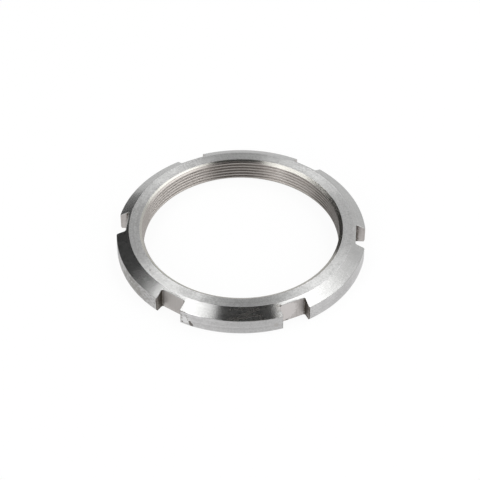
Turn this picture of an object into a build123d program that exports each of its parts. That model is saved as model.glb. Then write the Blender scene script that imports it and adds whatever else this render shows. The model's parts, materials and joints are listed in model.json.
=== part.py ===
"""Slotted round hub nut, turned and milled from one steel ring. Sizes are in millimetres.

The origin is on the axis, at the middle of the base that the nut rests on, and +Z is up.
One slot points along +X. The fine thread is shown here as a plain bore of its minor diameter.
"""

import os
from math import radians, sqrt, tan

from build123d import *

# Fine metric thread: the bore is its minor diameter, opened a little inside the thread's tolerance,
# and each countersunk mouth opens a little past the thread's grooves
thread_diameter = 80.0
thread_pitch = 1.5
bore_allowance = 0.25
mouth_relief = 0.75
countersink_angle = 30.0

# Turned ring, as wide as this from the thread's grooves to the rim, with its lower edge rounded
ring_width = 10.0
nut_height = 10.0
base_round = 1.0

# Cone on the upper side, from the flat face down to the rim, with its lower corner eased
cone_width = 5.0
cone_angle = 30.0
rim_round = 0.4

# Slots milled across the rim for the nose of a hook spanner or the tab of a lock washer
slot_count = 6
slot_width = 11.0
slot_depth = 4.0
slot_corner_radius = 0.6
slot_mouth_break = 0.4

# An internal metric thread is this many pitches deep across its diameter
THREAD_DEPTH_RATIO = 1.0825

rim_radius = thread_diameter / 2 + ring_width


def ring_section():
    """Half section of the ring in the XZ plane, with both ends of the bore countersunk."""
    bore_radius = (thread_diameter - THREAD_DEPTH_RATIO * thread_pitch + bore_allowance) / 2
    mouth_radius = thread_diameter / 2 + mouth_relief
    countersink_depth = (mouth_radius - bore_radius) * tan(radians(countersink_angle))
    face_radius = rim_radius - cone_width
    cone_drop = cone_width * tan(radians(cone_angle))
    outline = [
        (bore_radius, countersink_depth),
        (mouth_radius, 0),
        (rim_radius, 0),
        (rim_radius, nut_height - cone_drop),
        (face_radius, nut_height),
        (mouth_radius, nut_height),
        (bore_radius, nut_height - countersink_depth),
    ]
    section = make_face(Polyline(*outline, close=True))
    cone_foot = section.vertices().group_by(Axis.X)[-1].sort_by(Axis.Y)[-1]
    section = fillet(cone_foot, rim_round)
    base_corner = section.vertices().group_by(Axis.X)[-1].sort_by(Axis.Y)[0]
    return Plane.XZ * fillet(base_corner, base_round)


def slot_cutter():
    """Cutter for the slot on +X: flat floor, small floor corners, and both mouth edges broken."""
    half_width = slot_width / 2
    floor_x = rim_radius - slot_depth
    break_x = sqrt(rim_radius**2 - half_width**2) - slot_mouth_break
    reach = slot_depth + slot_mouth_break
    outline = [
        (floor_x, -half_width),
        (break_x, -half_width),
        (break_x + reach, -half_width - reach),
        (break_x + reach, half_width + reach),
        (break_x, half_width),
        (floor_x, half_width),
    ]
    plan = make_face(Polyline(*outline, close=True))
    floor_corners = plan.vertices().sort_by(Axis.X)[:2]
    plan = fillet(floor_corners, slot_corner_radius)
    return extrude(plan, amount=nut_height)


def hub_nut():
    """Ring with its slots, evenly spaced from +X."""
    nut = revolve(ring_section(), axis=Axis.Z)
    return nut - PolarLocations(0, slot_count) * slot_cutter()


os.makedirs("parts", exist_ok=True)
export_step(hub_nut(), "parts/hub_nut.step")
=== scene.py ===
"""Looks of a slotted round hub nut: one ring of bare steel, turned, milled and threaded. Metres."""

import bpy
import json
import math
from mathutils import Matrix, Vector


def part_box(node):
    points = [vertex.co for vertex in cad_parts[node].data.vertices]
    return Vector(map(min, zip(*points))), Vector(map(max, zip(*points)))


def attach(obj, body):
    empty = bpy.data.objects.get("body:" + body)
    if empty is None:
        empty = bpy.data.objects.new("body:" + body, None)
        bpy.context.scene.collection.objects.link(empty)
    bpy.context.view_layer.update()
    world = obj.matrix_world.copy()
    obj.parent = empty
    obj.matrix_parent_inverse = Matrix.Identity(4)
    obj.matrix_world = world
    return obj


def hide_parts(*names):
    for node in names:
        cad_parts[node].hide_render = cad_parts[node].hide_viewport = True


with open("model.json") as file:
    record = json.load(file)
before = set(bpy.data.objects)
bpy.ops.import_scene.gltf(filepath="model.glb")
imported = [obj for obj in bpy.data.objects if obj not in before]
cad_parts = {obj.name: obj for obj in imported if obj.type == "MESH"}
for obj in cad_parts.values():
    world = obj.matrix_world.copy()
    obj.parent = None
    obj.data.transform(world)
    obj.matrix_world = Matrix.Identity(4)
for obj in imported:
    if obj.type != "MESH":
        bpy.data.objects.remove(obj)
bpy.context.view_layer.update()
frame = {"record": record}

# The turned ring.
# The real nut starts as a ring of mild steel, turned on the rim and faced on both sides.
# Its upper side has a wide turned cone, its lower edge is rounded, and the bore's mouths are countersunk.
nut_low, nut_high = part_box("hub_nut")
thread_hole = next(m for m in frame["record"]["mounts"] if m["name"] == "spindle_thread")
nut_height = nut_high.z - nut_low.z
rim_radius = (nut_high.y - nut_low.y) / 2
bore_radius = thread_hole["dims"]["r_mm"] / 1000
countersink_depth = (nut_height - thread_hole["dims"]["length_mm"] / 1000) / 2
countersink_angle = math.radians(30)
cone_width = 0.005
cone_angle = math.radians(30)
base_round = 0.001
rim_round = 0.0004
corner_round = 0.0002
ring_steps = 720


def node(tree, kind, links=(), **settings):
    """Adds a node, sets its properties and fills its inputs: sockets are linked and plain values are set."""
    made = tree.nodes.new(kind)
    for key, value in settings.items():
        setattr(made, key, value)
    for where, source in dict(links).items():
        if isinstance(source, bpy.types.NodeSocket):
            tree.links.new(source, made.inputs[where])
        else:
            made.inputs[where].default_value = source
    return made


def maths(tree, operation, *values):
    """Result of a sum on these values."""
    return node(tree, "ShaderNodeMath", enumerate(values), operation=operation).outputs[0]


def from_axis(tree, position):
    """Distance of a position from the nut's axis."""
    plan = node(tree, "ShaderNodeVectorMath", {0: position, 1: (1, 1, 0)}, operation="MULTIPLY")
    return node(tree, "ShaderNodeVectorMath", {0: plan.outputs[0]}, operation="LENGTH").outputs["Value"]


def blend(tree, share, under, over):
    """One colour laid over another by this share."""
    made = node(tree, "ShaderNodeMix", {"Factor": share, "A": under, "B": over}, data_type="RGBA")
    return made.outputs["Result"]


def new_tree(name, kind, inputs, outputs):
    """Empty node group with its named sockets."""
    tree = bpy.data.node_groups.new(name, kind)
    for label, socket_type, value in inputs:
        socket = tree.interface.new_socket(label, in_out="INPUT", socket_type=socket_type)
        if value is not None:
            socket.default_value = value
    for label, socket_type in outputs:
        tree.interface.new_socket(label, in_out="OUTPUT", socket_type=socket_type)
    return tree, tree.nodes.new("NodeGroupInput"), tree.nodes.new("NodeGroupOutput")


def new_material(name):
    """Material with an empty tree."""
    made = bpy.data.materials.new(name)
    made.use_nodes = True
    made.node_tree.nodes.clear()
    return made


def put(name, data):
    """Object with this data, put in the scene."""
    made = bpy.data.objects.new(name, data)
    bpy.context.scene.collection.objects.link(made)
    return made


# Fine rings that the lathe's feed leaves: the pattern changes across the face and hardly along it.
marks, given, out = new_tree("turning marks", "ShaderNodeTree", [
    ("Vector", "NodeSocketVector", None),
    ("Spacing", "NodeSocketFloat", 0.0002),
    ("Wander", "NodeSocketFloat", 3.0),
], [("Height", "NodeSocketFloat"), ("Tone", "NodeSocketFloat")])
flat = node(marks, "ShaderNodeVectorMath", {0: given.outputs["Vector"], 1: (1, 1, 0)}, operation="MULTIPLY")
round_it = node(marks, "ShaderNodeVectorMath", {0: flat.outputs[0]}, operation="NORMALIZE")
facing = node(marks, "ShaderNodeSeparateXYZ", {0: round_it.outputs[0]})
place = node(marks, "ShaderNodeSeparateXYZ", {0: given.outputs["Vector"]})
across = maths(marks, "DIVIDE", from_axis(marks, given.outputs["Vector"]), given.outputs["Spacing"])
along = maths(marks, "DIVIDE", place.outputs["Z"], given.outputs["Spacing"])
turn_x = maths(marks, "MULTIPLY", facing.outputs["X"], given.outputs["Wander"])
turn_y = maths(marks, "MULTIPLY", facing.outputs["Y"], given.outputs["Wander"])
feed = node(marks, "ShaderNodeCombineXYZ", {"X": across, "Y": along, "Z": turn_x}).outputs[0]
fine = node(marks, "ShaderNodeTexNoise", {
    "Vector": feed, "W": turn_y, "Scale": 1.0, "Detail": 2.0, "Roughness": 0.6}, noise_dimensions="4D")
broad = node(marks, "ShaderNodeTexNoise", {
    "Vector": feed, "W": turn_y, "Scale": 0.25, "Detail": 3.0, "Roughness": 0.7}, noise_dimensions="4D")
marks.links.new(fine.outputs[0], out.inputs["Height"])
marks.links.new(broad.outputs[0], out.inputs["Tone"])

# Fine grain of the steel, and the cloudy patches and short hair scratches that handling leaves on it.
handled, given, out = new_tree("handling", "ShaderNodeTree", [
    ("Vector", "NodeSocketVector", None),
    ("Patch Size", "NodeSocketFloat", 0.006),
    ("Scratch Size", "NodeSocketFloat", 0.003),
    ("Grain Size", "NodeSocketFloat", 0.0006),
], [("Patches", "NodeSocketFloat"), ("Scratches", "NodeSocketFloat"), ("Grain", "NodeSocketFloat")])
patch_scale = maths(handled, "DIVIDE", 1.0, given.outputs["Patch Size"])
patches = node(handled, "ShaderNodeTexNoise", {
    "Vector": given.outputs["Vector"], "Scale": patch_scale, "Detail": 3.0, "Roughness": 0.6})
scratch_scale = maths(handled, "DIVIDE", 1.0, given.outputs["Scratch Size"])
paths = node(handled, "ShaderNodeTexNoise", {
    "Vector": given.outputs["Vector"], "Scale": scratch_scale, "Detail": 0.0, "Distortion": 0.4})
away = maths(handled, "ABSOLUTE", maths(handled, "SUBTRACT", paths.outputs[0], 0.5))
thin = node(handled, "ShaderNodeMapRange", {
    "Value": away, "From Min": 0.0, "From Max": 0.006, "To Min": 1.0, "To Max": 0.0})
breaks = node(handled, "ShaderNodeTexNoise", {
    "Vector": given.outputs["Vector"], "Scale": patch_scale, "Detail": 1.0})
kept = node(handled, "ShaderNodeMapRange", {"Value": breaks.outputs[0], "From Min": 0.56, "From Max": 0.62})
short = maths(handled, "MULTIPLY", thin.outputs[0], kept.outputs[0])
grain_scale = maths(handled, "DIVIDE", 1.0, given.outputs["Grain Size"])
grain = node(handled, "ShaderNodeTexNoise", {
    "Vector": given.outputs["Vector"], "Scale": grain_scale, "Detail": 2.0, "Roughness": 0.7})
handled.links.new(grain.outputs[0], out.inputs["Grain"])
handled.links.new(patches.outputs[0], out.inputs["Patches"])
handled.links.new(short, out.inputs["Scratches"])

# How much the grain counts beside the broader marks, and how bright and how deep a scratch is beside them.
grain_weight, scratch_brightness, scratch_depth = 2.0, 1.25, 1.5


def turned_steel(name, dark, light, roughness, anisotropy, spacing, relief, mottle=0.05):
    """Bare steel with turning marks and handling, and highlights stretched across the marks."""
    made = new_material(name)
    tree = made.node_tree
    coords = node(tree, "ShaderNodeTexCoord").outputs["Object"]
    rings = node(tree, "ShaderNodeGroup", {"Vector": coords, "Spacing": spacing}, node_tree=marks)
    hands = node(tree, "ShaderNodeGroup", {"Vector": coords}, node_tree=handled)
    clouded = maths(tree, "ADD", rings.outputs["Tone"], hands.outputs["Patches"])
    speckled = maths(tree, "MULTIPLY_ADD", hands.outputs["Grain"], grain_weight, clouded)
    spread = node(tree, "ShaderNodeMapRange", {"Value": speckled, "From Min": 1.7, "From Max": 2.3})
    tone = blend(tree, spread.outputs[0], (*dark, 1), (*light, 1))
    scratched = [channel * scratch_brightness for channel in light]
    scuffed = blend(tree, hands.outputs["Scratches"], tone, (*scratched, 1))
    uneven = maths(tree, "ADD", hands.outputs["Patches"], hands.outputs["Grain"])
    rough = node(tree, "ShaderNodeMapRange", {
        "Value": uneven, "From Min": 0.75, "From Max": 1.25,
        "To Min": roughness - mottle, "To Max": roughness + mottle})
    deep = maths(tree, "MULTIPLY_ADD", hands.outputs["Scratches"], -scratch_depth, rings.outputs["Height"])
    bump = node(tree, "ShaderNodeBump", {"Strength": 1.0, "Distance": relief, "Height": deep})
    ring_way = node(tree, "ShaderNodeTangent", direction_type="RADIAL", axis="Z")
    surface = node(tree, "ShaderNodeBsdfPrincipled", {
        "Base Color": scuffed, "Metallic": 1.0, "Roughness": rough.outputs["Result"],
        "Anisotropic": anisotropy, "Anisotropic Rotation": 0.25, "Normal": bump.outputs[0],
        "Tangent": ring_way.outputs[0]})
    node(tree, "ShaderNodeOutputMaterial", {"Surface": surface.outputs[0]})
    return made


faced_finish = turned_steel("faced steel", dark=(0.43, 0.43, 0.425), light=(0.61, 0.61, 0.605),
                            roughness=0.34, anisotropy=0.95, spacing=0.0002, relief=0.0000012)
cone_finish = turned_steel("cone steel", dark=(0.395, 0.395, 0.39), light=(0.455, 0.455, 0.45),
                           roughness=0.22, anisotropy=1.0, spacing=0.00016, relief=0.0000003, mottle=0.014)
rim_finish = turned_steel("rim steel", dark=(0.445, 0.44, 0.44), light=(0.575, 0.57, 0.57),
                          roughness=0.4, anisotropy=0.85, spacing=0.0002, relief=0.0000012)
sunk_finish = turned_steel("countersink steel", dark=(0.42, 0.41, 0.38), light=(0.46, 0.45, 0.42),
                           roughness=0.24, anisotropy=0.97, spacing=0.00016, relief=0.0000002, mottle=0.01)


def closed_line(name, points):
    """Closed curve of straight runs through these points, each with its x, its y and its corner's round."""
    curve = bpy.data.curves.new(name, "CURVE")
    spline = curve.splines.new("POLY")
    spline.points.add(len(points) - 1)
    for point, (x, y, corner) in zip(spline.points, points):
        point.co = (x, y, 0, 1)
        point.radius = corner
    spline.use_cyclic_u = True
    return put(name, curve)


def add_nodes(piece, tree, values):
    """Puts a tree on a piece as a modifier and sets its named inputs."""
    modifier = piece.modifiers.new(tree.name, "NODES")
    modifier.node_group = tree
    for item in tree.interface.items_tree:
        if item.in_out == "INPUT" and item.name in values:
            modifier[item.identifier] = values[item.name]


def is_so(tree, a, comparison, b):
    """Whether this comparison of two values holds."""
    made = node(tree, "FunctionNodeCompare", {"A": a, "B": b}, operation=comparison, data_type="FLOAT")
    return made.outputs[0]


def coat(tree, shape, finish, where=True):
    """Shape with a finish on the faces that are picked."""
    made = node(tree, "GeometryNodeSetMaterial", {"Geometry": shape, "Selection": where, "Material": finish})
    return made.outputs[0]


face_radius = rim_radius - cone_width
mouth_radius = bore_radius + countersink_depth / math.tan(countersink_angle)
rim_top = nut_height - cone_width * math.tan(cone_angle)
outline = [
    (bore_radius, countersink_depth, corner_round),
    (mouth_radius, 0, corner_round),
    (rim_radius, 0, base_round),
    (rim_radius, rim_top, rim_round),
    (face_radius, nut_height, corner_round),
    (mouth_radius, nut_height, corner_round),
    (bore_radius, nut_height - countersink_depth, corner_round),
]
# The sweep lays a section's y axis down along -Z, so its heights are drawn as depths.
section = closed_line("ring_section", [
    (radius, -height, corner) for radius, height, corner in reversed(outline)])

# A corner gets more points the larger its round is. How far a face's normal points up or down tells the flat
# faces, and how far it points up tells the cone from the rim.
corner_points_per_metre, least_corner_points = 8000.0, 1.5
flat_above, upward_above = 0.97, 0.25

lathe, given, out = new_tree("turn ring", "GeometryNodeTree", [
    ("Section", "NodeSocketObject", None),
    ("Steps", "NodeSocketInt", ring_steps),
    ("Path Radius", "NodeSocketFloat", bore_radius),
    ("Cone Starts", "NodeSocketFloat", face_radius),
    ("Mouth Radius", "NodeSocketFloat", mouth_radius),
    ("Rim Finish", "NodeSocketMaterial", rim_finish),
    ("Face Finish", "NodeSocketMaterial", faced_finish),
    ("Cone Finish", "NodeSocketMaterial", cone_finish),
    ("Countersink Finish", "NodeSocketMaterial", sunk_finish),
], [("Geometry", "NodeSocketGeometry")])
profile = node(lathe, "GeometryNodeObjectInfo", {"Object": given.outputs["Section"]})
corner_size = node(lathe, "GeometryNodeInputRadius").outputs[0]
corner_points = maths(lathe, "MULTIPLY_ADD", corner_size, corner_points_per_metre, least_corner_points)
rounded = node(lathe, "GeometryNodeFilletCurve", {
    "Curve": profile.outputs["Geometry"], "Radius": corner_size, "Count": corner_points}, mode="POLY")
inward = node(lathe, "ShaderNodeCombineXYZ", {"X": given.outputs["Path Radius"]})
outward = node(lathe, "ShaderNodeVectorMath", {0: inward.outputs[0], "Scale": -1.0}, operation="SCALE")
shifted = node(lathe, "GeometryNodeSetPosition", {
    "Geometry": rounded.outputs[0], "Offset": outward.outputs[0]})
path = node(lathe, "GeometryNodeCurvePrimitiveCircle", {
    "Resolution": given.outputs["Steps"], "Radius": given.outputs["Path Radius"]})
turned = node(lathe, "GeometryNodeCurveToMesh", {
    "Curve": path.outputs[0], "Profile Curve": shifted.outputs[0]})
# The flat faces, the cone, the countersinks and the rim are cut with different tools.
normal = node(lathe, "GeometryNodeInputNormal")
lean = node(lathe, "ShaderNodeSeparateXYZ", {0: normal.outputs[0]}).outputs["Z"]
is_flat = is_so(lathe, maths(lathe, "ABSOLUTE", lean), "GREATER_THAN", flat_above)
is_up = is_so(lathe, lean, "GREATER_THAN", upward_above)
reach = from_axis(lathe, node(lathe, "GeometryNodeInputPosition").outputs[0])
is_outer = is_so(lathe, reach, "GREATER_THAN", given.outputs["Cone Starts"])
is_inner = is_so(lathe, reach, "LESS_THAN", given.outputs["Mouth Radius"])
is_cone = node(lathe, "FunctionNodeBooleanMath", {0: is_up, 1: is_outer}, operation="AND").outputs[0]
coated = coat(lathe, turned.outputs[0], given.outputs["Rim Finish"])
coated = coat(lathe, coated, given.outputs["Countersink Finish"], is_inner)
coated = coat(lathe, coated, given.outputs["Cone Finish"], is_cone)
coated = coat(lathe, coated, given.outputs["Face Finish"], is_flat)
lathe.links.new(coated, out.inputs[0])

blank = put("nut_blank", bpy.data.meshes.new("nut_blank"))
add_nodes(blank, lathe, {
    "Section": section, "Steps": ring_steps, "Path Radius": bore_radius, "Cone Starts": face_radius})

# The six slots.
# They are milled across the rim for a hook spanner, straight through from face to face, with a flat floor.
# The cutter leaves a small radius in the floor's corners, and the slots' mouths are broken by hand.
slot_count = 6
slot_width = 0.011
slot_depth = 0.004
slot_corner_radius = 0.0006
slot_mouth_break = 0.0004
mouth_break_angle = math.radians(45)
slot_reach = slot_depth + slot_mouth_break
slot_floor = rim_radius - slot_depth
half_width = slot_width / 2
mouth_x = math.sqrt(rim_radius**2 - half_width**2) - slot_mouth_break
corner_steps, floor_steps, wall_steps, outer_steps = 6, 12, 6, 4

# Painted shade in the slots' corners, laid as a dark film: far along the front slots' walls, less in the
# other slots, and a little way over every floor.
corner_shade, given, out = new_tree("painted corner shade", "ShaderNodeTree", [
    ("Vector", "NodeSocketVector", None),
    ("Slots", "NodeSocketFloat", slot_count),
    ("Floor Distance", "NodeSocketFloat", slot_floor),
    ("Half Width", "NodeSocketFloat", half_width),
    ("Up The Walls", "NodeSocketFloat", 0.006),
    ("Over The Floor", "NodeSocketFloat", 0.0008),
    ("Share Elsewhere", "NodeSocketFloat", 0.23),
    ("Raggedness", "NodeSocketFloat", 1.6),
], [("Painted Shade", "NodeSocketFloat")])
place = node(corner_shade, "ShaderNodeSeparateXYZ", {0: given.outputs["Vector"]})
radius = from_axis(corner_shade, given.outputs["Vector"])
heading = maths(corner_shade, "ARCTAN2", place.outputs["Y"], place.outputs["X"])
half_turn = maths(corner_shade, "DIVIDE", math.pi, given.outputs["Slots"])
nearest = maths(corner_shade, "WRAP", heading, half_turn, maths(corner_shade, "MULTIPLY", half_turn, -1.0))
ahead = maths(corner_shade, "MULTIPLY", radius, maths(corner_shade, "COSINE", nearest))
sideways = maths(corner_shade, "MULTIPLY", radius, maths(corner_shade, "SINE", nearest))
side = node(corner_shade, "ShaderNodeMapRange", {
    "Value": place.outputs["Y"], "From Min": -0.03, "From Max": -0.01,
    "To Min": 1.0, "To Max": given.outputs["Share Elsewhere"]})
wall_reach = maths(corner_shade, "MULTIPLY", given.outputs["Up The Walls"], side.outputs[0])
from_floor = maths(corner_shade, "SUBTRACT", ahead, given.outputs["Floor Distance"])
from_wall = maths(corner_shade, "SUBTRACT", given.outputs["Half Width"], maths(corner_shade, "ABSOLUTE", sideways))
up_wall = maths(corner_shade, "DIVIDE", from_floor, wall_reach)
over_floor = maths(corner_shade, "DIVIDE", from_wall, given.outputs["Over The Floor"])
flecks = node(corner_shade, "ShaderNodeTexNoise", {
    "Vector": given.outputs["Vector"], "Scale": 1600.0, "Detail": 3.0, "Roughness": 0.7})
ragged = maths(corner_shade, "MULTIPLY_ADD", flecks.outputs[0], given.outputs["Raggedness"],
               maths(corner_shade, "ADD", up_wall, over_floor))
film = node(corner_shade, "ShaderNodeMapRange", {
    "Value": ragged, "From Min": 0.9, "From Max": 2.0, "To Min": 1.0, "To Max": 0.0},
    interpolation_type="SMOOTHSTEP")
corner_shade.links.new(film.outputs[0], out.inputs["Painted Shade"])

milled_dark = (0.42, 0.395, 0.38)
milled_light = (0.56, 0.535, 0.525)
# Painted shade colour for the slots' corners.
corner_shade_colour = (0.075, 0.064, 0.052)
milled_finish = new_material("milled steel")
tree = milled_finish.node_tree
coords = node(tree, "ShaderNodeTexCoord").outputs["Object"]
upright_lines = node(tree, "ShaderNodeMapping", {"Vector": coords, "Scale": (2200, 2200, 90)})
cutter_lines = node(tree, "ShaderNodeTexNoise", {
    "Vector": upright_lines.outputs[0], "Scale": 1.0, "Detail": 2.0, "Roughness": 0.6}).outputs[0]
hands = node(tree, "ShaderNodeGroup", {"Vector": coords, "Patch Size": 0.004}, node_tree=handled)
corners = node(tree, "ShaderNodeGroup", {"Vector": coords}, node_tree=corner_shade)
striped = maths(tree, "ADD", cutter_lines, hands.outputs["Grain"])
shade = node(tree, "ShaderNodeMapRange", {"Value": striped, "From Min": 0.7, "From Max": 1.3})
tone = blend(tree, shade.outputs[0], (*milled_dark, 1), (*milled_light, 1))
# Painted shade darkens the slots' corners.
corner_shaded = blend(tree, corners.outputs["Painted Shade"], tone, (*corner_shade_colour, 1))
rough = node(tree, "ShaderNodeMapRange", {"Value": cutter_lines, "To Min": 0.42, "To Max": 0.58})
bump = node(tree, "ShaderNodeBump", {"Strength": 1.0, "Distance": 0.000006, "Height": cutter_lines})
surface = node(tree, "ShaderNodeBsdfPrincipled", {
    "Base Color": corner_shaded, "Metallic": 1.0, "Roughness": rough.outputs["Result"], "Normal": bump.outputs[0]})
node(tree, "ShaderNodeOutputMaterial", {"Surface": surface.outputs[0]})

# A file breaks the slots' edges by this much. The cutter goes a little past each face, and then well clear.
filed_finish = turned_steel("filed edges", dark=(0.40, 0.40, 0.395), light=(0.48, 0.48, 0.475),
                            roughness=0.36, anisotropy=0.0, spacing=0.0004, relief=0.000002)
edge_break = 0.00015
past_face = 0.0006
clear_of_face = 0.01


def cone_height(x, y):
    """Height of the cone over this point of the plan, drawn on past its ends."""
    return nut_height - (math.hypot(x, y) - face_radius) * math.tan(cone_angle)


def run(start, end, steps):
    """Evenly spaced points from start to just before end."""
    across, along = end[0] - start[0], end[1] - start[1]
    return [(start[0] + across * k / steps, start[1] + along * k / steps) for k in range(steps)]


def slot_outline(wider):
    """Plan of the slot on +X, opened this much all round: floor, rounded corners, walls and broken mouths."""
    wall = half_width + wider
    corner = slot_corner_radius + wider
    mouth = mouth_x + wider * math.tan(mouth_break_angle / 2)
    outer = mouth + slot_reach
    middle_x, middle_y = slot_floor + slot_corner_radius, half_width - slot_corner_radius
    turns = [math.pi / 2 * k / corner_steps for k in range(corner_steps + 1)]
    upper = [(middle_x - corner * math.cos(a), middle_y + corner * math.sin(a)) for a in turns]
    lower = [(x, -y) for x, y in reversed(upper)]
    clockwise = [
        *lower[:-1],
        *run(lower[-1], upper[0], floor_steps),
        *upper[:-1],
        *run(upper[-1], (mouth, wall), wall_steps),
        *run((mouth, wall), (outer, wall + slot_reach), wall_steps),
        *run((outer, wall + slot_reach), (outer, -wall - slot_reach), outer_steps),
        *run((outer, -wall - slot_reach), (mouth, -wall), wall_steps),
        *run((mouth, -wall), lower[0], wall_steps),
    ]
    return clockwise[::-1]


# The cutter is lofted through rings of the plan. It flares where it leaves a face, to break the edge there.
narrow, wide = slot_outline(0), slot_outline(edge_break + past_face)
rings = [
    [(x, y, -past_face - clear_of_face) for x, y in wide],
    [(x, y, -past_face) for x, y in wide],
    [(x, y, edge_break) for x, y in narrow],
    [(x, y, cone_height(x, y) - edge_break) for x, y in narrow],
    [(x, y, cone_height(x, y) + past_face) for x, y in wide],
    [(x, y, 2 * nut_height) for x, y in wide],
]
milled_level = 2
around = len(narrow)
faces = [tuple(reversed(range(around))), tuple(range(around * (len(rings) - 1), around * len(rings)))]
finish_of = [0, 0]
for level in range(len(rings) - 1):
    for k in range(around):
        low, high = level * around, (level + 1) * around
        faces.append((low + k, low + (k + 1) % around, high + (k + 1) % around, high + k))
        finish_of.append(0 if level == milled_level else 1)
cutter_mesh = bpy.data.meshes.new("slot_cutter")
cutter_mesh.from_pydata([point for ring in rings for point in ring], [], faces)
cutter_mesh.materials.append(milled_finish)
cutter_mesh.materials.append(filed_finish)
cutter_mesh.polygons.foreach_set("material_index", finish_of)
slot_cutter = put("slot_cutter", cutter_mesh)


def cut_away(tree, body, tool):
    """Body with the tool's shape cut out of it."""
    made = node(tree, "GeometryNodeMeshBoolean", {"Mesh 1": body, "Mesh 2": tool},
                operation="DIFFERENCE", solver="EXACT")
    return made.outputs["Mesh"]


mill, given, out = new_tree("mill slots", "GeometryNodeTree", [
    ("Geometry", "NodeSocketGeometry", None),
    ("Cutter", "NodeSocketObject", None),
    ("Count", "NodeSocketInt", slot_count),
], [("Geometry", "NodeSocketGeometry")])
shape = node(mill, "GeometryNodeObjectInfo", {"Object": given.outputs["Cutter"]})
spots = node(mill, "GeometryNodeMeshLine", {"Count": given.outputs["Count"], "Offset": (0, 0, 0)})
number = node(mill, "GeometryNodeInputIndex")
turn = maths(mill, "MULTIPLY", number.outputs[0], maths(mill, "DIVIDE", math.tau, given.outputs["Count"]))
about_z = node(mill, "ShaderNodeCombineXYZ", {"Z": turn})
cutters = node(mill, "GeometryNodeInstanceOnPoints", {
    "Points": spots.outputs[0], "Instance": shape.outputs["Geometry"], "Rotation": about_z.outputs[0]})
real = node(mill, "GeometryNodeRealizeInstances", {0: cutters.outputs[0]})
mill.links.new(cut_away(mill, given.outputs["Geometry"], real.outputs[0]), out.inputs[0])
add_nodes(blank, mill, {"Cutter": slot_cutter, "Count": slot_count})

# The thread.
# A fine right-hand metric thread, cut with a single-point tool from one countersunk mouth to the other.
# Its grooves have 60 degree flanks and a narrow flat root, and wide flats of the bore stay between them.
thread_pitch = 0.0015
thread_radius = 0.04
flank_angle = math.radians(30)
into_bore = 0.0003
root_flat = thread_pitch / 8
root_half = root_flat / 2
tool_reach = thread_radius - bore_radius + into_bore
tool_half = root_half + tool_reach * math.tan(flank_angle)
run_out = 0.002
thread_travel = nut_height + 2 * run_out
bore_tolerance = 0.00003
sharpest_round = math.radians(35)

thread_finish = turned_steel("thread steel", dark=(0.33, 0.305, 0.285), light=(0.42, 0.395, 0.375),
                             roughness=0.33, anisotropy=0.9, spacing=0.0001, relief=0.000001)

# On an upright spiral the section's x axis points inward.
tool = closed_line("thread_tool", [
    (tool_reach, tool_half, 0),
    (0, root_half, 0),
    (0, -root_half, 0),
    (tool_reach, -tool_half, 0),
])

thread, given, out = new_tree("cut thread", "GeometryNodeTree", [
    ("Geometry", "NodeSocketGeometry", None),
    ("Tool", "NodeSocketObject", None),
    ("Steps", "NodeSocketInt", ring_steps),
    ("Turns", "NodeSocketFloat", thread_travel / thread_pitch),
    ("Root Radius", "NodeSocketFloat", thread_radius),
    ("Travel", "NodeSocketFloat", thread_travel),
    ("Start Height", "NodeSocketFloat", -run_out),
    ("Finish", "NodeSocketMaterial", thread_finish),
    ("Bore Radius", "NodeSocketFloat", bore_radius),
], [("Geometry", "NodeSocketGeometry")])
# The flats between the grooves are the bore itself, with the same finish as the grooves.
bore_reach = from_axis(thread, node(thread, "GeometryNodeInputPosition").outputs[0])
bore_edge = maths(thread, "ADD", given.outputs["Bore Radius"], bore_tolerance)
in_bore = is_so(thread, bore_reach, "LESS_THAN", bore_edge)
bored = coat(thread, given.outputs["Geometry"], given.outputs["Finish"], in_bore)
spiral = node(thread, "GeometryNodeCurveSpiral", {
    "Resolution": given.outputs["Steps"], "Rotations": given.outputs["Turns"],
    "Start Radius": given.outputs["Root Radius"], "End Radius": given.outputs["Root Radius"],
    "Height": given.outputs["Travel"]})
upright = node(thread, "GeometryNodeSetCurveNormal", {0: spiral.outputs[0]}, mode="Z_UP")
start = node(thread, "ShaderNodeCombineXYZ", {"Z": given.outputs["Start Height"]})
placed = node(thread, "GeometryNodeTransform", {
    "Geometry": upright.outputs[0], "Translation": start.outputs[0]})
shape = node(thread, "GeometryNodeObjectInfo", {"Object": given.outputs["Tool"]})
swept = node(thread, "GeometryNodeCurveToMesh", {
    "Curve": placed.outputs[0], "Profile Curve": shape.outputs["Geometry"], "Fill Caps": True})
cut = cut_away(thread, bored, coat(thread, swept.outputs[0], given.outputs["Finish"]))
# Rounds shade smoothly, and the thread's crests and the slots' edges stay crisp.
fold = node(thread, "GeometryNodeInputMeshEdgeAngle")
is_round = is_so(thread, fold.outputs["Unsigned Angle"], "LESS_THAN", sharpest_round)
faces_smooth = node(thread, "GeometryNodeSetShadeSmooth", {
    "Geometry": cut, "Shade Smooth": True}, domain="FACE")
edges_smooth = node(thread, "GeometryNodeSetShadeSmooth", {
    "Geometry": faces_smooth.outputs[0], "Shade Smooth": is_round}, domain="EDGE")
thread.links.new(edges_smooth.outputs[0], out.inputs[0])
add_nodes(blank, thread, {
    "Tool": tool, "Steps": ring_steps, "Travel": thread_travel, "Start Height": -run_out})

# The knocks.
# Handling has left pits down the front tooth's rim and on the edges round it, and one in the upper face.
# They are shallow hollows in the steel with a dark finish; the row along the cone's foot is a line of painted
# shade under that edge.
# A bruise, scuffs, stains and wiped streaks lie in the finishes, and painted light and painted shade lie
# there too.
# Dark finish of the pits, which along the cone's foot is painted shade.
pit_and_shade_finish = turned_steel("bruised steel and painted shade", dark=(0.15, 0.14, 0.13), light=(0.3, 0.285, 0.27),
                          roughness=0.5, anisotropy=0.0, spacing=0.0003, relief=0.000003)
pit_unevenness, pit_seed, most_shift = 0.3, 4.0, 0.0005

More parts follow.
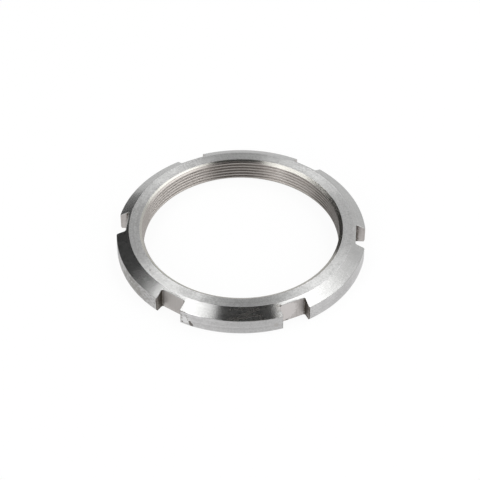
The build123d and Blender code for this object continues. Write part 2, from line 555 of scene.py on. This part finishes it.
# Each pit: its middle, the way its surface faces, its reach and its depth.
pits = [
    ((-0.01734, -0.0469, 0.0054), (-0.347, -0.938, 0), 0.0003, 0.00008),
    ((-0.01708, -0.047, 0.0044), (-0.342, -0.94, 0), 0.00028, 0.0001),
    ((-0.0168, -0.0471, 0.0034), (-0.336, -0.942, 0), 0.0003, 0.00012),
    ((-0.016, -0.04738, 0.0026), (-0.32, -0.947, 0), 0.0006, 0.00016),
    ((-0.01555, -0.04752, 0.0016), (-0.311, -0.95, 0), 0.00078, 0.00022),
    ((-0.01535, -0.04759, 0.0008), (-0.307, -0.952, 0), 0.00075, 0.00018),
    # These four, in a row along the cone's foot, are a dark line of painted shade under that edge.
    ((-0.01977, -0.0459, 0.0071), (-0.38, -0.88, 0.3), 0.0005, 0.0001),
    ((-0.01897, -0.04624, 0.0071), (-0.37, -0.88, 0.3), 0.0005, 0.00012),
    ((-0.01816, -0.04657, 0.0071), (-0.36, -0.89, 0.3), 0.0005, 0.0001),
    ((-0.01734, -0.04688, 0.0071), (-0.34, -0.89, 0.3), 0.00045, 0.00009),
    ((-0.01935, -0.0461, 0.005), (-0.387, -0.922, 0), 0.00026, 0.00008),
    ((-0.01915, -0.04618, 0.0035), (-0.383, -0.924, 0), 0.00028, 0.00007),
    ((-0.01905, -0.04622, 0.0016), (-0.381, -0.924, 0), 0.00036, 0.0001),
    ((-0.03343, -0.02778, 0.01), (0, 0, 1), 0.00032, 0.00014),
    ((0.01864, -0.04238, 0.00925), (0.5, -0.86, 0.3), 0.00048, 0.00035),
    ((0.01765, -0.04275, 0.0006), (0.86, 0.3, -0.4), 0.00045, 0.0003),
    ((0.02101, -0.04098, 0.0004), (0.5, -0.86, -0.5), 0.00045, 0.0003),
]
pit_spots = bpy.data.meshes.new("knock_spots")
pit_spots.from_pydata([middle for middle, facing, reach, depth in pits], [], [])
for label, kind, values in (
        ("facing", "FLOAT_VECTOR", [part for middle, facing, reach, depth in pits for part in facing]),
        ("size", "FLOAT", [reach for middle, facing, reach, depth in pits]),
        ("depth", "FLOAT", [depth for middle, facing, reach, depth in pits])):
    field = pit_spots.attributes.new(label, kind, "POINT")
    field.data.foreach_set("vector" if kind == "FLOAT_VECTOR" else "value", values)
knocks_at = put("knock_spots", pit_spots)

dent, given, out = new_tree("dent surface", "GeometryNodeTree", [
    ("Geometry", "NodeSocketGeometry", None),
    ("Spots", "NodeSocketObject", None),
    ("Unevenness", "NodeSocketFloat", pit_unevenness),
    ("Seed", "NodeSocketFloat", pit_seed),
    ("Finish", "NodeSocketMaterial", pit_and_shade_finish),
], [("Geometry", "NodeSocketGeometry")])
places = node(dent, "GeometryNodeObjectInfo", {"Object": given.outputs["Spots"]})
ball = node(dent, "GeometryNodeMeshIcoSphere", {"Radius": 1.0, "Subdivisions": 3})
facing = node(dent, "GeometryNodeInputNamedAttribute", {"Name": "facing"}, data_type="FLOAT_VECTOR")
size = node(dent, "GeometryNodeInputNamedAttribute", {"Name": "size"}, data_type="FLOAT").outputs["Attribute"]
depth = node(dent, "GeometryNodeInputNamedAttribute", {"Name": "depth"}, data_type="FLOAT")
stand = node(dent, "FunctionNodeAlignRotationToVector", {"Vector": facing.outputs["Attribute"]}, axis="Z")
flatten = node(dent, "ShaderNodeCombineXYZ", {"X": size, "Y": size, "Z": depth.outputs["Attribute"]})
balls = node(dent, "GeometryNodeInstanceOnPoints", {
    "Points": places.outputs["Geometry"], "Instance": ball.outputs["Mesh"], "Rotation": stand.outputs[0],
    "Scale": flatten.outputs[0]})
solid = node(dent, "GeometryNodeRealizeInstances", {0: balls.outputs[0]})
here = node(dent, "GeometryNodeInputPosition")
rough_place = node(dent, "ShaderNodeTexNoise", {
    "Vector": here.outputs[0], "W": given.outputs["Seed"], "Scale": 2500.0, "Detail": 1.0},
    noise_dimensions="4D")
centred = node(dent, "ShaderNodeVectorMath", {
    0: rough_place.outputs["Color"], 1: (0.5, 0.5, 0.5)}, operation="SUBTRACT")
amount = maths(dent, "MULTIPLY", given.outputs["Unevenness"], most_shift)
push = node(dent, "ShaderNodeVectorMath", {0: centred.outputs[0], "Scale": amount}, operation="SCALE")
uneven = node(dent, "GeometryNodeSetPosition", {"Geometry": solid.outputs[0], "Offset": push.outputs[0]})
dark = coat(dent, uneven.outputs[0], given.outputs["Finish"])
# Hollows that overlap are made one first, so that one cut takes them all.
merged = node(dent, "GeometryNodeMeshBoolean", {"Mesh 2": dark, "Self Intersection": True},
              operation="UNION", solver="EXACT")
dent.links.new(cut_away(dent, given.outputs["Geometry"], merged.outputs["Mesh"]), out.inputs[0])
add_nodes(blank, dent, {"Spots": knocks_at, "Unevenness": pit_unevenness, "Seed": pit_seed})

# A patch with an uneven outline: one mask for its inside and one for a line along its edge. The patches hold
# wear and stains, and also painted light and painted shade.
patch_masks, given, out = new_tree("patch masks", "ShaderNodeTree", [
    ("Vector", "NodeSocketVector", None),
    ("Centre", "NodeSocketVector", None),
    ("Reach", "NodeSocketFloat", 0.002),
    ("Edge Width", "NodeSocketFloat", 0.2),
    ("Raggedness", "NodeSocketFloat", 0.5),
    ("Detail Size", "NodeSocketFloat", 0.0008),
    ("Softness", "NodeSocketFloat", 0.2),
], [("Inside", "NodeSocketFloat"), ("Edge", "NodeSocketFloat")])
distance = node(patch_masks, "ShaderNodeVectorMath", {
    0: given.outputs["Vector"], 1: given.outputs["Centre"]}, operation="DISTANCE")
share = maths(patch_masks, "DIVIDE", distance.outputs["Value"], given.outputs["Reach"])
flecks = node(patch_masks, "ShaderNodeTexNoise", {
    "Vector": given.outputs["Vector"], "Scale": maths(patch_masks, "DIVIDE", 1.0, given.outputs["Detail Size"]),
    "Detail": 2.0, "Roughness": 0.55})
about_zero = maths(patch_masks, "SUBTRACT", flecks.outputs[0], 0.5)
ragged = maths(patch_masks, "MULTIPLY_ADD", about_zero, given.outputs["Raggedness"], share)
inside = node(patch_masks, "ShaderNodeMapRange", {
    "Value": ragged, "From Min": maths(patch_masks, "SUBTRACT", 1.0, given.outputs["Softness"]), "From Max": 1.0,
    "To Min": 1.0, "To Max": 0.0})
off_edge = maths(patch_masks, "ABSOLUTE", maths(patch_masks, "SUBTRACT", ragged, 1.0))
edge = node(patch_masks, "ShaderNodeMapRange", {
    "Value": off_edge, "From Min": 0.0, "From Max": given.outputs["Edge Width"],
    "To Min": 1.0, "To Max": 0.0})
patch_masks.links.new(inside.outputs[0], out.inputs["Inside"])
patch_masks.links.new(edge.outputs[0], out.inputs["Edge"])


def lay_patch(finish, centre, reach, raggedness, wear_and_painted_light, wear_and_painted_light_share, matt=0.0, edge_width=0.3,
        edge_shade=(0.3, 0.28, 0.26), edge_shade_share=0.0, detail=0.0008, softness=0.2, streak=0.0):
    """Lays a patch into a finish: its colour of wear, stain, painted light or painted shade, its edge line of
    painted shade, how much more matt it is, and its streaks.
    """
    tree = finish.node_tree
    surface = next(n for n in tree.nodes if n.type == "BSDF_PRINCIPLED")
    coords = next(n for n in tree.nodes if n.type == "TEX_COORD").outputs["Object"]
    patch = node(tree, "ShaderNodeGroup", {
        "Vector": coords, "Centre": centre, "Reach": reach, "Edge Width": edge_width,
        "Raggedness": raggedness, "Detail Size": detail, "Softness": softness}, node_tree=patch_masks)
    colour = surface.inputs["Base Color"].links[0].from_socket
    roughness = surface.inputs["Roughness"].links[0].from_socket
    inside = patch.outputs["Inside"]
    if streak:
        wiped = node(tree, "ShaderNodeGroup", {
            "Vector": coords, "Spacing": streak, "Wander": 11.0}, node_tree=marks)
        smears = node(tree, "ShaderNodeMapRange", {
            "Value": wiped.outputs["Height"], "From Min": 0.42, "From Max": 0.68})
        inside = maths(tree, "MULTIPLY", inside, smears.outputs[0])
    # The inside takes the patch's colour: wear and stains on most patches, a painted reflection on one slot
    # floor and painted shade on the other.
    inner = maths(tree, "MULTIPLY", inside, wear_and_painted_light_share)
    # Painted shade along the patch's edge.
    outer = maths(tree, "MULTIPLY", patch.outputs["Edge"], edge_shade_share)
    wear_and_painted_light_laid = blend(tree, inner, colour, (*wear_and_painted_light, 1))
    lined = blend(tree, outer, wear_and_painted_light_laid, (*edge_shade, 1))
    duller = maths(tree, "MULTIPLY_ADD", inside, matt, roughness)
    tree.links.new(lined, surface.inputs["Base Color"])
    tree.links.new(duller, surface.inputs["Roughness"])


# The flattened bruise on the front tooth's rim, bright, with painted shade along its edge as a dark line.
lay_patch(rim_finish, (-0.0179, -0.0467, 0.0031), reach=0.0019, raggedness=0.9, wear_and_painted_light=(0.64, 0.64, 0.64),
    wear_and_painted_light_share=0.6, matt=0.08, edge_width=0.12, edge_shade=(0.25, 0.235, 0.22), edge_shade_share=0.5)
# The front slots' floors: the right one has a painted reflection that lightens it, and the left one has
# painted shade in patches.
lay_patch(milled_finish, (0.0203, -0.0414, 0.0055), reach=0.0055, raggedness=0.8, wear_and_painted_light=(0.66, 0.63, 0.62),
    wear_and_painted_light_share=0.75, edge_width=0.1)
lay_patch(milled_finish, (-0.0225, -0.0401, 0.005), reach=0.005, raggedness=1.5, wear_and_painted_light=(0.36, 0.345, 0.33),
    wear_and_painted_light_share=0.5, edge_width=0.1)
# A scuff on the cone by the right front slot, with painted shade along its edge.
lay_patch(cone_finish, (0.0181, -0.0432, 0.0089), reach=0.0014, raggedness=1.6, wear_and_painted_light=(0.6, 0.59, 0.58),
    wear_and_painted_light_share=0.8, matt=0.15, edge_width=0.15, edge_shade=(0.2, 0.185, 0.17), edge_shade_share=0.5)
# Streaks that were wiped round the cone over the front tooth.
lay_patch(cone_finish, (0.0078, -0.0468, 0.0087), reach=0.0125, raggedness=1.5, wear_and_painted_light=(0.44, 0.405, 0.36),
    wear_and_painted_light_share=0.6, matt=0.09, edge_width=0.4, detail=0.004, softness=0.5, streak=0.0011)
# A small stain near the right end of the front tooth's rim, and mottled stains on the left tooth's rim.
lay_patch(rim_finish, (0.0174, -0.0469, 0.0033), reach=0.0011, raggedness=0.7, wear_and_painted_light=(0.44, 0.425, 0.41),
    wear_and_painted_light_share=0.75)
lay_patch(rim_finish, (-0.0399, -0.0301, 0.0036), reach=0.011, raggedness=8.0, wear_and_painted_light=(0.22, 0.21, 0.19),
    wear_and_painted_light_share=0.75, detail=0.0011, softness=0.8)

# The whole nut.
# The blank with its slots, its thread and its knocks is one piece of steel, and becomes one plain mesh here.
# Flat faces keep their flat shading up to the small rounds along their edges.
even = blank.modifiers.new("even shading", "WEIGHTED_NORMAL")
even.mode = "FACE_AREA"
even.weight = 100
even.keep_sharp = True
depsgraph = bpy.context.evaluated_depsgraph_get()
nut_mesh = bpy.data.meshes.new_from_object(blank.evaluated_get(depsgraph))
nut_mesh.name = "nut"
nut = put("nut", nut_mesh)
for helper in (blank, section, slot_cutter, tool, knocks_at):
    bpy.data.objects.remove(helper)
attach(nut, "root")
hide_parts("hub_nut")

# The camera.
# It stands at the photograph's angle, a little right of the front slots' middle,
# and is moved by a small part of the nut's size so that the nut lies in the picture as it does there.
view_turn = math.radians(4.67)
view_height = math.radians(43.73)
view_distance = 0.7218
move_right, move_up = -0.00047, 0.00172
level_part = math.cos(view_height)
back = Vector((math.sin(view_turn) * level_part, -math.cos(view_turn) * level_part, math.sin(view_height)))
right = Vector((math.cos(view_turn), math.sin(view_turn), 0))
up = back.cross(right)
camera_data = bpy.data.cameras.new("camera")
camera_data.lens = 133.85
camera_data.sensor_width = 36
camera_data.clip_start = 0.01
camera = put("camera", camera_data)
camera.location = back * view_distance + right * move_right + up * move_up
camera.rotation_euler = (-back).to_track_quat("-Z", "Y").to_euler()
bpy.context.scene.camera = camera
bpy.context.scene.view_settings.view_transform = "Standard"

# The white table.
# It fills the view, shows as plain white to the camera and in the steel, and keeps the nut's soft shadow.
# Most of what is seen of it is its own white, and the rest is lit, so that the shadow still shows a little.
table_reach = 4
own_white = 0.92
floor_mesh = bpy.data.meshes.new("floor")
floor_mesh.from_pydata([(-table_reach, -table_reach, 0), (table_reach, -table_reach, 0),
                        (table_reach, table_reach, 0), (-table_reach, table_reach, 0)], [], [(0, 1, 2, 3)])
floor = put("floor", floor_mesh)
white = new_material("white table")
tree = white.node_tree
ray = node(tree, "ShaderNodeLightPath")
seen = maths(tree, "MAXIMUM", ray.outputs["Is Camera Ray"], ray.outputs["Is Glossy Ray"])
seen_too = maths(tree, "MAXIMUM", seen, ray.outputs["Is Transmission Ray"])
lit = node(tree, "ShaderNodeBsdfDiffuse", {"Color": (0.9, 0.9, 0.9, 1)})
glow = node(tree, "ShaderNodeEmission", {"Color": (1, 1, 1, 1), "Strength": 1.0})
both = node(tree, "ShaderNodeMixShader", {
    0: maths(tree, "MULTIPLY", seen_too, own_white), 1: lit.outputs[0], 2: glow.outputs[0]})
node(tree, "ShaderNodeOutputMaterial", {"Surface": both.outputs[0]})
floor_mesh.materials.append(white)

# The white tent, its dark screens and its soft lamps.
# Bare steel shows what is round it, so dark screens hang overhead, in front, to the left and behind the left.
# The lamps face the nut from high on both sides, from low in front on both sides, and from behind the left.
world = bpy.data.worlds.new("tent")
bpy.context.scene.world = world
world.use_nodes = True
world.node_tree.nodes["Background"].inputs["Color"].default_value = (1, 1, 1, 1)
world.node_tree.nodes["Background"].inputs["Strength"].default_value = 1.0
screen_distance = 1.9
screen_steps = 8
lamp_distance = 1.3


def dome(right_part, away_part):
    """Direction to a place on the tent, by its parts to the picture's right and away from the camera."""
    rise = math.sqrt(max(0.0, 1 - right_part**2 - away_part**2))
    flat_x = right_part * math.cos(view_turn) - away_part * math.sin(view_turn)
    flat_y = right_part * math.sin(view_turn) + away_part * math.cos(view_turn)
    return Vector((flat_x, flat_y, rise))


def screen(name, grey, rights, aways, narrowings=(0.0, 0.0)):
    """Curved screen over a patch of the tent, unseen by the camera; its sides can lean in to its far end."""
    corners = []
    for j in range(screen_steps + 1):
        beyond = (aways[1] - aways[0]) * j / screen_steps
        left, right_end = rights[0] + narrowings[0] * beyond, rights[1] - narrowings[1] * beyond
        for i in range(screen_steps + 1):
            on_dome = dome(left + (right_end - left) * i / screen_steps, aways[0] + beyond)
            corners.append(on_dome.normalized() * screen_distance)
    row = screen_steps + 1
    starts = [j * row + i for j in range(screen_steps) for i in range(screen_steps)]
    mesh = bpy.data.meshes.new(name)
    mesh.from_pydata(corners, [], [(k, k + 1, k + row + 1, k + row) for k in starts])
    cloth = new_material(name)
    matt = node(cloth.node_tree, "ShaderNodeBsdfDiffuse", {"Color": (grey, grey, grey, 1)})
    node(cloth.node_tree, "ShaderNodeOutputMaterial", {"Surface": matt.outputs[0]})
    mesh.materials.append(cloth)
    made = put(name, mesh)
    made.visible_camera = False


def softbox(name, brightness, right_part, away_part, wide, tall):
    """Soft rectangular lamp facing the nut; its brightness is how bright its face looks, where 1 is white."""
    light = bpy.data.lights.new(name, "AREA")
    light.shape = "RECTANGLE"
    light.size = wide
    light.size_y = tall
    light.energy = brightness * math.pi * wide * tall
    made = put(name, light)
    made.location = dome(right_part, away_part) * lamp_distance
    made.rotation_euler = made.location.to_track_quat("Z", "Y").to_euler()


screen("screen_overhead", 0.096, (-0.268, 0.362), (-0.6, 0.6), (0.13, 0.2))
screen("screen_front", 0.04, (-0.25, 0.42), (-0.93, -0.6))
screen("screen_overhead_left", 0.02, (-0.6, -0.22), (0.22, 0.6))
screen("screen_left", 0.02, (-0.98, -0.62), (0.08, 0.6))
screen("screen_back_left", 0.02, (-0.88, -0.17), (0.6, 0.9))
softbox("lamp_left_high", 1.68, -0.434, -0.116, 0.75, 0.521)
softbox("lamp_right_high", 1.97, 0.5115, 0.05, 1.4, 0.57)
softbox("lamp_front_left", 6.0, -0.58, -0.64, 0.35, 0.5)
softbox("lamp_front_right", 1.5, 0.85, -0.38, 1.2, 0.35)
softbox("lamp_back_left", 5.0, -0.3, 0.45, 0.3, 0.3)
